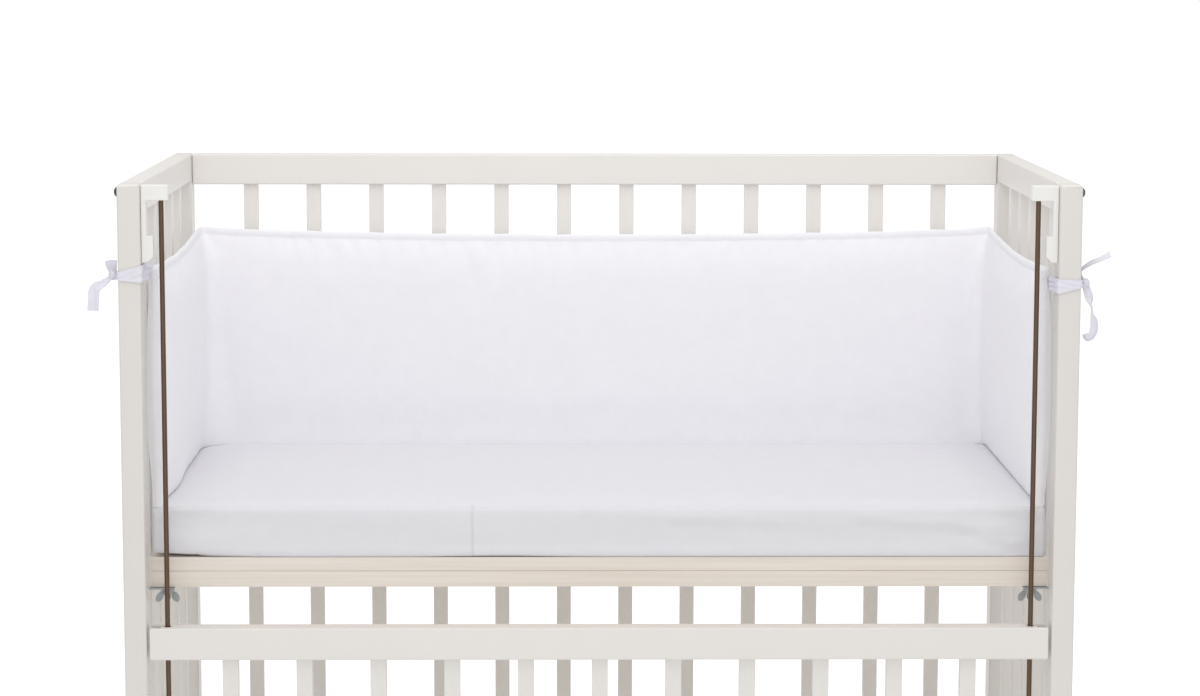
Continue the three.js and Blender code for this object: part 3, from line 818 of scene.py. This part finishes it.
# Reach of the roundings along the front, top and bottom, and the power that squares them
TOP_ROUND = 12 * MM
UNDER_ROUND = 5 * MM
SQUARE_POWER = 5
# Folds in the front of the cover: x and height of both ends above the underside, and depth. Millimetres.
FOLDS = (
    ((40, 36), (205, 31), 1.0),
    ((250, 36), (330, 29), 1.2),
    ((325, 30), (430, 23), 1.8),
    ((365, 24), (432, 6), 1.6),
)
FOLD_WIDE = 3.5 * MM
# Shares of a fold's length between which it begins and ends
FOLD_START = (-0.1, 0.25)
FOLD_END = (0.75, 1.1)
# How far the filling stands the front out
FRONT_FULL = 1.6 * MM
# Place, reach and height of the small gap under the front edge, and how far up and back it fades
GAP_X = -100 * MM
GAP_REACH = 60 * MM
GAP_HIGH = 1.1 * MM
GAP_UP = 14 * MM
GAP_DEEP = 30 * MM
# Layers that count as the top and as the underside, and how far the top's edge lies below its crown
TOP_LAYER = 10 * MM
UNDER_LAYER = 6 * MM
EDGE_DROP = 2 * MM
# Place below the crown and width of the gathered rim along the front
RIM_DROP = 12 * MM
RIM_WIDE = 7 * MM
MATTRESS_SHRINK = -0.004
# Noise in the cover: feature size and seed, and the stretch of creases and gathers
CREASES = (13 * MM, 7)
SWELLS = (140 * MM, 8)
GATHERS = (9 * MM, 9)
GATHER_PATCHES = (45 * MM, 11)
CREASE_STRETCH = np.array([0.12, 1, 1])
GATHER_STRETCH = np.array([1, 1, 0.3])
SWELL_HIGH = 0.8 * MM
# Noise between which a patch of gathers begins and is full
GATHER_RANGE = (0.05, 0.4)
# Parts of the normal between which a point begins to count as front, top or rim
FRONT_FACES = (0.2, 0.8)
TOP_FACES = (0.5, 0.9)
RIM_FACES = (0.1, 0.6)
# Shares of the lower rounding between which the front's lower edge comes to rest, going back and going up
REST_BACK = (0.2, 0.6)
REST_UP = (0.3, 0.7)


def square_edge(points, front, level, way, reach):
    """Squares a rounded edge along the front: way is 1 for the top edge and -1 for the bottom edge."""
    u = np.clip((front + reach - points[:, 1]) / reach, 0, 1)
    v = np.clip(1 - way * (level - points[:, 2]) / reach, 0, 1)
    square = (u ** SQUARE_POWER + v ** SQUARE_POWER) ** (1 / SQUARE_POWER)
    grow = np.hypot(u, v) / np.maximum(square, 1e-6) - 1
    grow[square == 0] = 0
    points[:, 1] -= u * reach * grow
    points[:, 2] += way * v * reach * grow


def front_folds(points, low):
    """Height of the cover's folds at each point: a ridge with a groove under it along each fold's line."""
    height = np.zeros(len(points))
    for (x0, z0), (x1, z1), depth in FOLDS:
        share = (points[:, 0] / MM - x0) / (x1 - x0)
        above = points[:, 2] - low.z - mix(z0, z1, share) * MM
        along = ramp(share, *FOLD_START) * (1 - ramp(share, *FOLD_END))
        ridge = bell(above, FOLD_WIDE, FOLD_WIDE) - bell(above, -FOLD_WIDE, FOLD_WIDE)
        height += depth * MM * along * ridge
    return height


def make_mattress():
    """A remeshed copy of the mattress solid, filled and creased."""
    values = settings("crib_mattress")
    piece = merged_copy("mattress")
    bpy.ops.object.mode_set(mode="OBJECT")
    piece.data.remesh_voxel_size = values.voxel
    bpy.ops.object.voxel_remesh()
    low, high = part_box("mattress")
    points = mesh_points(piece)
    beside = np.minimum(high.x - np.abs(points[:, 0]), high.y - points[:, 1])
    on_top = points[:, 2] > high.z - TOP_LAYER
    flat = np.where(on_top, CALM * (1 - ramp(beside, PAD_STRIP, FLAT_STRIP)), 0)
    held = np.where((points[:, 2] < low.z + UNDER_LAYER) | (on_top & (beside < PAD_STRIP)), 1.0, flat)
    swell(piece, held, values, MATTRESS_SHRINK)
    points = mesh_points(piece)
    normals = point_normals(piece)
    front = ramp(-normals[:, 1], *FRONT_FACES)
    top = ramp(normals[:, 2], *TOP_FACES)
    push = values.crease * front * hum(points * CREASE_STRETCH, *CREASES)
    push += SWELL_HIGH * hum(points, *SWELLS) * np.maximum(front, top)
    push *= 1 - held
    push += front * (FRONT_FULL + front_folds(points, low))
    rim = bell(points[:, 2], high.z - RIM_DROP, RIM_WIDE) * ramp(-normals[:, 1], *RIM_FACES)
    gathers = ramp(hum(points, *GATHER_PATCHES), *GATHER_RANGE)
    push += values.rim * rim * gathers * hum(points * GATHER_STRETCH, *GATHERS)
    points = points + normals * push[:, None]
    square_edge(points, low.y - FRONT_FULL, high.z - EDGE_DROP, 1, TOP_ROUND)
    square_edge(points, low.y - FRONT_FULL, low.z, -1, UNDER_ROUND)
    rest = ramp((low.y + UNDER_ROUND - points[:, 1]) / UNDER_ROUND, *REST_BACK)
    rest *= ramp((low.z + UNDER_ROUND - points[:, 2]) / UNDER_ROUND, *REST_UP)
    points[:, 2] += (low.z - points[:, 2]) * rest
    edge = ramp(points[:, 2] - low.z, GAP_UP, 0) * ramp(points[:, 1] - low.y, GAP_DEEP, 0)
    points[:, 2] += GAP_HIGH * edge * bell(points[:, 0], GAP_X, GAP_REACH)
    points[:, 2] = np.maximum(points[:, 2], low.z)
    set_points(piece, points)
    smooth(piece, CLOTH_ANGLE)
    # The cover's darker white is painted shade on the mattress.
    finish = cotton("percale_cotton_mattress", 1.4, settings("crib_finish").cover, SEAM_X, low.y + SEAM_DEEP)
    finish_piece(piece, "mattress_cover", finish, CRIB, ["mattress"])


# Ties

# Free ends of the ties: distance from the middle, depth behind the post's front, height, turn of the
# ribbon (0 is edge-on from the front), share of the ribbon's width. Millimetres and degrees.
LEFT_UPPER_END = (
    (478.0, 13, 740, 60, 0.6),
    (478.9, 11, 746, 75, 0.9),
    (479.2, 9, 750, 85, 1.1),
    (479.4, 8, 754.5, 82, 1.2),
)
LEFT_LOWER_END = (
    (478.0, 13, 740, 20, 0.6),
    (481.5, 11, 735.5, 40, 0.7),
    (487.7, 9, 731, 60, 0.8),
    (493.3, 7, 728, 70, 1.0),
    (496.2, 6, 723, 85, 1.1),
    (496.7, 5, 715.5, 95, 1.1),
    (497.4, 5, 705, 95, 1.1),
)
RIGHT_UPPER_END = (
    (478.0, 13, 731, 10, 0.6),
    (474.8, 22, 738, 0, 0.7),
    (474.8, 23, 744.5, 5, 0.7),
    (482.6, 17, 752, 15, 0.9),
    (490.6, 11, 756.3, 15, 0.9),
    (500.8, 8, 762, 25, 0.9),
)
RIGHT_LOWER_END = (
    (478.0, 13, 731, 60, 0.6),
    (480.0, 11, 725, 75, 0.8),
    (482.2, 9, 717.5, 70, 0.85),
    (483.9, 8, 709.5, 15, 0.7),
    (484.8, 8, 703.5, 15, 0.7),
    (486.8, 7, 696, 60, 0.8),
    (487.0, 7, 686, 70, 0.85),
    (484.2, 7, 679.5, 65, 0.85),
    (480.2, 7, 677.5, 55, 0.8),
    (477.0, 7, 682, 50, 0.6),
)
# Side of the crib, heights of the band (lower and upper edge at the post's inner side, then at its outer
# side), free ends, flat length. Millimetres.
TIES = {
    "tie_left": (-1, (733, 750, 735.5, 743.5), (LEFT_UPPER_END, LEFT_LOWER_END), 235),
    "tie_right": (1, (722.5, 737, 728.5, 736), (RIGHT_UPPER_END, RIGHT_LOWER_END), 255),
}
# Gathered start of each tie, from its band to the pad's front end where it is sewn: distance from the middle
# and depth behind the post's front. Millimetres.
SEWN_START = ((449, 10), (448.4, 18), (447.6, 25), (446.4, 30), (444.6, 34), (442.5, 38))
SEWN_FOLD = 0.7 * MM
SEWN_ROWS = 19
TIE_CLEARANCE = 0.5 * MM
STEPS_PER_ROW = 6
RIBBON_BOW = 0.09
RIBBON_ROWS = 7
# Band round a post: rounding of its corners and degrees between their points, steps along it, rows across
# it, height and depth of its folds, their slant round the post, and how much flatter they get on the way
BAND_CORNER = 2.5 * MM
BAND_TURN = 18
BAND_STEP = 3 * MM
BAND_ROWS = 15
BAND_FOLD = 0.45 * MM
BAND_DENT = 0.3 * MM
BAND_SLANT = 9
BAND_FLATTER = 0.4
# Knot: least radius and rise of its turns as shares of its radius, their number, slant and sharpness, and how
# much taller than wide it is
KNOT_LEAST = 0.8
KNOT_RISE = 0.26
KNOT_TURNS = 1.5
KNOT_SLANT = 2.2
KNOT_SHARP = 0.7
KNOT_SHAPE = np.array([1, 1, 1.2])


def post_of(side):
    """The front post at the left, for a side of -1, or at the right, for 1."""
    return "post_front_right" if side > 0 else "post_front_left"


def catmull(rows, share):
    """A row of a table between its own rows, on a smooth curve."""
    rows = np.array(rows, float)
    place = share * (len(rows) - 1)
    i = min(int(place), len(rows) - 2)
    t = place - i
    p0, p1, p2, p3 = (rows[min(max(i + k, 0), len(rows) - 1)] for k in (-1, 0, 1, 2))
    return 0.5 * (2 * p1 + (p2 - p0) * t + (2 * p0 - 5 * p1 + 4 * p2 - p3) * t * t
                  + (3 * p1 - p0 - 3 * p2 + p3) * t ** 3)


def ribbon_sections(rows, side, front_y, values):
    """Sections of a free end: a thin closed strip, hollowed a little across."""
    count = STEPS_PER_ROW * (len(rows) - 1)
    table = [catmull(rows, i / count) for i in range(count + 1)]
    middle = [Vector((side * r[0] * MM, front_y + r[1] * MM, r[2] * MM)) for r in table]
    sections = []
    for i, row in enumerate(table):
        ahead = (middle[min(i + 1, count)] - middle[max(i - 1, 0)]).normalized()
        depth = Vector((0, 1, 0))
        depth = (depth - ahead * depth.dot(ahead)).normalized()
        across = Matrix.Rotation(side * math.radians(row[3]), 3, ahead) @ depth
        through = ahead.cross(across)
        wide = values.width * row[4]
        near, far = [], []
        for share in np.linspace(-0.5, 0.5, RIBBON_ROWS):
            bow = RIBBON_BOW * wide * (math.cos(2 * math.pi * share) - 0.5)
            spot = middle[i] + across * wide * share + through * bow
            near.append(spot - through * values.thickness / 2)
            far.append(spot + through * values.thickness / 2)
        sections.append(near + far[::-1])
    return sections


def band_piece(name, side, heights, values):
    """A gathered band of ribbon round a front post."""
    post_low, post_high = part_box(post_of(side))
    inner, outer = (post_low.x, post_high.x) if side > 0 else (post_high.x, post_low.x)
    gap = TIE_CLEARANCE + values.thickness / 2
    x0, x1 = abs(inner) - gap, abs(outer) + gap
    y0, y1 = post_low.y - gap, post_high.y + gap
    outline = []
    left, right = x0 + BAND_CORNER, x1 - BAND_CORNER
    front, back = y0 + BAND_CORNER, y1 - BAND_CORNER
    for cx, cy, start in ((right, back, 0), (left, back, 90), (left, front, 180), (right, front, 270)):
        for turn in range(0, 91, BAND_TURN):
            nx, ny = math.cos(math.radians(start + turn)), math.sin(math.radians(start + turn))
            outline.append((cx + BAND_CORNER * nx, cy + BAND_CORNER * ny, nx, ny))
    inner_low, inner_top, outer_low, outer_top = (height * MM for height in heights)
    sections = []
    for here, following in zip(outline, outline[1:] + outline[:1]):
        steps = max(1, int(math.hypot(following[0] - here[0], following[1] - here[1]) / BAND_STEP))
        for k in range(steps):
            x, y, nx, ny = (mix(a, b, k / steps) for a, b in zip(here, following))
            share = (x - x0) / (x1 - x0)
            low, top = mix(inner_low, outer_low, share), mix(inner_top, outer_top, share)
            under, over = [], []
            for v in np.linspace(0, 1, BAND_ROWS):
                fold = BAND_FOLD * math.sin(v * 4 * math.pi + BAND_SLANT * share) * math.sin(math.pi * v)
                out = max(fold * (1 - BAND_FLATTER * share), -BAND_DENT)
                for layer, way in ((under, -0.5), (over, 0.5)):
                    off = out + way * values.thickness
                    layer.append((side * (x + nx * off), y + ny * off, mix(low, top, v)))
            sections.append(under + over[::-1])
    return closed_skin(name, sections, ring=True)


def sewn_start(name, side, heights, front_y, values):
    """The gathered start of a ribbon, from its band to the pad's front end."""
    low, top = heights[0] * MM, heights[1] * MM
    sections = []
    for out, depth in SEWN_START:
        near, far = [], []
        for v in np.linspace(0, 1, SEWN_ROWS):
            x = out * MM - SEWN_FOLD * math.sin(6 * math.pi * v) * math.sin(math.pi * v)
            y, z = front_y + depth * MM, mix(low, top, v)
            near.append((side * (x - values.thickness / 2), y, z))
            far.append((side * (x + values.thickness / 2), y, z))
        sections.append(near + far[::-1])
    return closed_skin(name, sections)


def knot_piece(name, place, radius):
    """A small knot of ribbon: a lump with slanting turns pressed into it."""
    deselect()
    bpy.ops.mesh.primitive_uv_sphere_add(segments=32, ring_count=20, radius=radius, location=place)
    piece = bpy.context.object
    piece.name = name
    settle_place(piece)
    points = mesh_points(piece)
    off = points - np.array(place)
    around = np.arctan2(off[:, 1], off[:, 0])
    turns = np.abs(np.sin(KNOT_TURNS * around + KNOT_SLANT * off[:, 2] / radius))
    off *= (KNOT_LEAST + KNOT_RISE * turns ** KNOT_SHARP)[:, None] * KNOT_SHAPE
    set_points(piece, np.array(place) + off)
    return piece


def make_ties():
    """Sewn start, band, knot and free ends of each tie, joined as one sheet of ribbon."""
    values = settings("crib_ties")
    material = cotton("twill_cotton_ribbon", 1.1, settings("crib_finish").ribbon)
    front_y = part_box("post_front_left")[0].y
    for node, (side, heights, ends, flat_length) in TIES.items():
        first = ends[0][0]
        knot = (side * first[0] * MM, front_y + first[1] * MM, first[2] * MM)
        pieces = [band_piece(f"{node}_ribbon", side, heights, values),
                  sewn_start(f"{node}_start", side, heights, front_y, values),
                  knot_piece(f"{node}_knot", knot, values.knot)]
        for k, rows in enumerate(ends):
            pieces.append(closed_skin(f"{node}_end_{k}", ribbon_sections(rows, side, front_y, values)))
        deselect()
        for piece in pieces:
            piece.select_set(True)
        bpy.context.view_layer.objects.active = pieces[0]
        bpy.ops.object.join()
        piece = pieces[0]
        face_outwards(piece)
        smooth(piece, RIBBON_ANGLE)
        finish_piece(piece, f"{node}_ribbon", material, CRIB, [node])


# Stage

# Soft lights by the name of their power: place, target and width, metres
LIGHTS = (
    ("overhead", (0, -0.6, 2.2), (0, 0.1, 0.5), 1.6),
    ("fill", (0, -3.1, 0.95), (0, 0, 0.5), 1.8),
)


def soft_light(name, place, target, size, power):
    """A square soft light aimed at a point."""
    deselect()
    bpy.ops.object.light_add(type="AREA", location=place)
    light = bpy.context.object
    light.name = name
    light.data.energy = power
    light.data.size = size
    light.rotation_euler = (Vector(target) - light.location).to_track_quat("-Z", "Y").to_euler()


# Operators

class CRIB_OT_stage(bpy.types.Operator):
    """Floor, even white light, soft light above the front, and the camera"""
    bl_idname = "crib.stage"
    bl_label = "Stage"

    def execute(self, context):
        values = settings("crib_stage")
        scene = context.scene
        scene.view_settings.view_transform = "Standard"
        deselect()
        bpy.ops.mesh.primitive_plane_add(size=FLOOR_SIZE)
        floor = context.object
        floor.name = "studio_floor"
        floor.data.materials.append(studio_floor())
        world = bpy.data.worlds.new("studio_sky")
        world.use_nodes = True
        set_sockets(world.node_tree.nodes["Background"], {"Color": WHITE, "Strength": values.sky})
        scene.world = world
        for name, place, target, size in LIGHTS:
            soft_light(f"{name}_light", place, target, size, getattr(values, name))
        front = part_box("post_front_left")[0].y
        bpy.ops.object.camera_add(location=(values.offset, front - values.distance, values.height))
        camera = context.object
        camera.name = "photo_camera"
        camera.data.sensor_width = 36
        camera.data.sensor_fit = "HORIZONTAL"
        camera.data.lens = values.lens
        camera.data.clip_end = FLOOR_SIZE
        level = Vector((math.cos(values.yaw), -math.sin(values.yaw), 0))
        ahead = Vector((math.sin(values.yaw), math.cos(values.yaw), -math.tan(values.pitch))).normalized()
        up = level.cross(ahead)
        right = level * math.cos(values.roll) + up * math.sin(values.roll)
        top = up * math.cos(values.roll) - level * math.sin(values.roll)
        camera.rotation_euler = Matrix((right, top, -ahead)).transposed().to_euler()
        scene.camera = camera
        return {"FINISHED"}


class CRIB_OT_painted_wood(bpy.types.Operator):
    """Posts, rails and slats of lacquered wood"""
    bl_idname = "crib.painted_wood"
    bl_label = "Painted wood"

    def execute(self, context):
        values = settings("crib_wood")
        colours = settings("crib_finish")
        finishes = [painted_wood(f"lacquered_beech_{name}", axis, colours.paint)
                    for axis, name in enumerate("xyz")]
        # The posts take the darker copy of the paint, which is painted shade.
        post_shaded_finish = painted_wood("lacquered_beech_post", 2, colours.post_paint_shaded)
        for node in nodes_named("post_"):
            finish_piece(rounded_bar(node, values.post_edge, values.post_top, whole=False), f"{node}_wood",
                         post_shaded_finish, CRIB, [node])
        for node in nodes_named("back_", "side_", "drop_slat"):
            body = DROP_SIDE if node.startswith("drop_") else CRIB
            slat = "slat" in node
            piece = rounded_bar(node, values.slat_edge if slat else values.edge, whole=not slat)
            finish_piece(piece, f"{node}_wood", finishes[long_axis(node)], body, [node])
        for node in nodes_named("drop_top_rail", "drop_low_rail"):
            finish_piece(softened_copy(node, values.edge / 2), f"{node}_wood", finishes[0], DROP_SIDE,
                         [node])
        return {"FINISHED"}


class CRIB_OT_base(bpy.types.Operator):
    """Panel and battens of bare wood under the mattress"""
    bl_idname = "crib.base"
    bl_label = "Base"

    def execute(self, context):
        finish = bare_wood()
        for node in ("base_panel", "base_front_batten", "base_back_batten"):
            piece = rounded_bar(node, settings("crib_wood").base_edge)
            finish_piece(piece, f"{node}_wood", finish, CRIB, [node])
        return {"FINISHED"}


class CRIB_OT_hardware(bpy.types.Operator):
    """Guide rods, catches, rod feet, base clamps and post bolts"""
    bl_idname = "crib.hardware"
    bl_label = "Hardware"

    def execute(self, context):
        finish = settings("crib_finish")
        wood = settings("crib_wood")
        bronze = plated_metal("bronzed_steel_rod", finish.bronze, 0.36, 9)
        zinc = plated_metal("zinc_plated_steel", finish.zinc, 0.42, 4)
        dark = plated_metal("black_oxide_steel", finish.bolt, 0.4, 3)
        plastic = moulded_plastic()
        for node in nodes_named("rod_left", "rod_right"):
            low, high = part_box(node)
            deselect()
            bpy.ops.mesh.primitive_cylinder_add(vertices=32, radius=(high.x - low.x) / 2,
                                                depth=high.z - low.z, location=(low + high) / 2)
            rod = context.object
            settle_place(rod)
            bpy.ops.object.mode_set(mode="EDIT")
            select_edges(rod, lambda a, b: abs(a.z - b.z) < MM)
            bpy.ops.mesh.bevel(offset=0.6 * MM, segments=2)
            bpy.ops.object.mode_set(mode="OBJECT")
            smooth(rod)
            finish_piece(rod, f"{node}_bronze", bronze, CRIB, [node])
        for node in nodes_named("catch_", "rod_foot_"):
            finish_piece(softened_copy(node, wood.catch_edge), f"{node}_plastic", plastic, CRIB,
                         [node])
        for node in nodes_named("base_clamp_"):
            finish_piece(softened_copy(node, 0.3 * MM), f"{node}_steel", zinc, CRIB, [node])
        for side in (-1, 1):
            node = post_of(side)
            low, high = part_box(node)
            outer = high.x if side > 0 else low.x
            deselect()
            bpy.ops.mesh.primitive_uv_sphere_add(
                segments=24, ring_count=12, radius=wood.bolt_radius, rotation=(0, math.pi / 2, 0),
                location=(outer, (low.y + high.y) / 2, high.z - wood.bolt_drop),
                scale=(1, 1, wood.bolt_rise / wood.bolt_radius))
            bolt = context.object
            settle_place(bolt)
            edit_all(bolt)
            bpy.ops.mesh.bisect(plane_co=(outer, 0, 0), plane_no=(side, 0, 0), clear_inner=True,
                                use_fill=True)
            bpy.ops.object.mode_set(mode="OBJECT")
            smooth(bolt)
            finish_piece(bolt, f"{node}_bolt", dark, CRIB)
        return {"FINISHED"}


class CRIB_OT_mattress(bpy.types.Operator):
    """Mattress in its cotton cover"""
    bl_idname = "crib.mattress"
    bl_label = "Mattress"

    def execute(self, context):
        make_mattress()
        return {"FINISHED"}


class CRIB_OT_bumper(bpy.types.Operator):
    """The padded bumper with its top seam"""
    bl_idname = "crib.bumper"
    bl_label = "Bumper"

    def execute(self, context):
        make_bumper()
        return {"FINISHED"}


class CRIB_OT_ties(bpy.types.Operator):
    """Ribbon ties knotted round the front posts"""
    bl_idname = "crib.ties"
    bl_label = "Ties"

    def execute(self, context):
        make_ties()
        return {"FINISHED"}


OPERATORS = (
    CRIB_OT_stage,
    CRIB_OT_painted_wood,
    CRIB_OT_base,
    CRIB_OT_hardware,
    CRIB_OT_mattress,
    CRIB_OT_bumper,
    CRIB_OT_ties,
)


class CRIB_PT_panel(bpy.types.Panel):
    """Sidebar list of the crib's pieces"""
    bl_idname = "CRIB_PT_panel"
    bl_label = "Crib Bumper"
    bl_space_type = "VIEW_3D"
    bl_region_type = "UI"
    bl_category = "Crib Bumper"

    def draw(self, context):
        for operator in OPERATORS:
            self.layout.operator(operator.bl_idname)


def register():
    for name, group in PROPERTY_GROUPS:
        bpy.utils.register_class(group)
        setattr(bpy.types.Scene, name, PointerProperty(type=group))
    for operator in OPERATORS:
        bpy.utils.register_class(operator)
    bpy.utils.register_class(CRIB_PT_panel)


def unregister():
    bpy.utils.unregister_class(CRIB_PT_panel)
    for operator in reversed(OPERATORS):
        bpy.utils.unregister_class(operator)
    for name, group in reversed(PROPERTY_GROUPS):
        delattr(bpy.types.Scene, name)
        bpy.utils.unregister_class(group)


def main():
    register()
    bpy.ops.crib.stage()
    bpy.ops.crib.painted_wood()
    bpy.ops.crib.base()
    bpy.ops.crib.hardware()
    bpy.ops.crib.mattress()
    bpy.ops.crib.bumper()
    bpy.ops.crib.ties()
    deselect()


if __name__ == "__main__":
    main()
